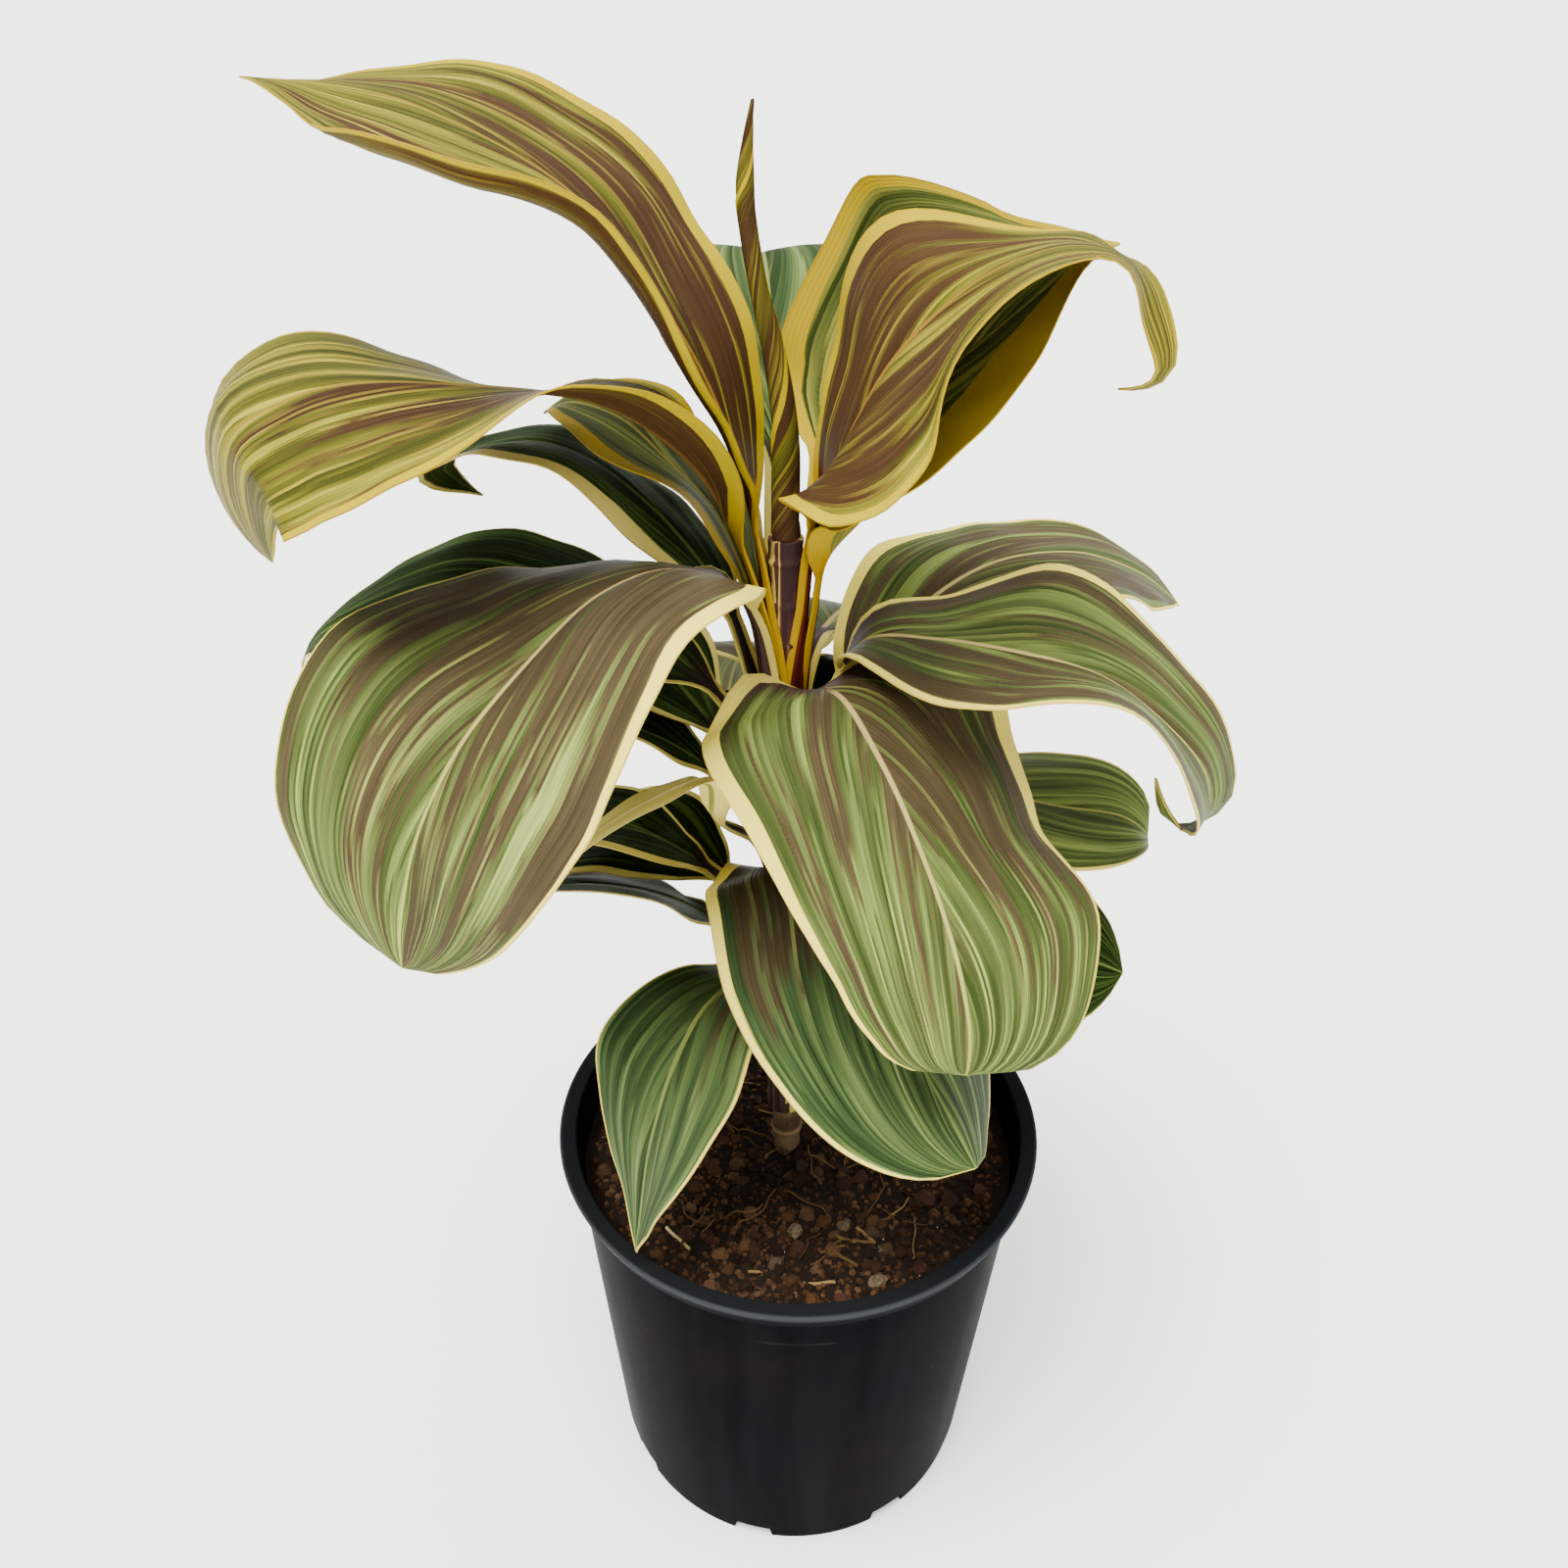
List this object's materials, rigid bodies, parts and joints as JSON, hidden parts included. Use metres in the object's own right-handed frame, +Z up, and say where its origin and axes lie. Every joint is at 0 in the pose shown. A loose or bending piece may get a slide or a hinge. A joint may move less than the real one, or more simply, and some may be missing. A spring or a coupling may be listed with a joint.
{
  "type": "potted ti plant",
  "caption": "Ti plant with broad striped, cream-edged leaves round a bare cane, standing in soil in a round thin-walled plastic nursery pot.",
  "frame": {"origin": "centre of the pot's flat underside", "axes": "+Z up along the pot's axis, -Y towards the plant's front"},
  "size_m": [0.3498, 0.2713, 0.6006],
  "materials": {
    "black_plastic": "satin moulded",
    "potting_soil": "matt, loose and crumbly",
    "woody_cane": "matt, ringed with leaf scars",
    "young_leaf": "satin, brown and yellow stripes",
    "middle_leaf": "satin, brown and green stripes with cream margins",
    "old_leaf": "satin, dark green stripes with cream margins"
  },
  "bodies": {
    "root": {"pot": "black_plastic", "soil": "potting_soil", "cane": "woody_cane", "spear": "young_leaf", "leaf_top_left": "young_leaf", "leaf_top_right": "young_leaf", "leaf_top_right_behind": "young_leaf", "leaf_top_back": "middle_leaf", "leaf_upper_left": "young_leaf", "leaf_upper_left_behind": "middle_leaf", "leaf_upper_back": "middle_leaf", "leaf_curled_left": "old_leaf", "leaf_dark_left": "old_leaf", "leaf_broad_left": "middle_leaf", "leaf_broad_front": "middle_leaf", "leaf_arching_right": "middle_leaf", "leaf_arching_right_behind": "middle_leaf", "leaf_middle_back": "middle_leaf", "leaf_middle_left_behind": "old_leaf", "leaf_middle_left": "old_leaf", "leaf_middle_right_behind": "old_leaf", "leaf_low_right": "old_leaf", "leaf_drooping_left": "old_leaf", "leaf_low_back": "old_leaf", "leaf_low_front": "old_leaf", "leaf_low_back_right": "old_leaf", "leaf_low_left": "old_leaf", "leaf_lowest_back": "old_leaf", "leaf_lowest_left": "old_leaf", "leaf_lowest_right": "old_leaf", "leaf_pot_left": "old_leaf"}
  },
  "joints": []
}
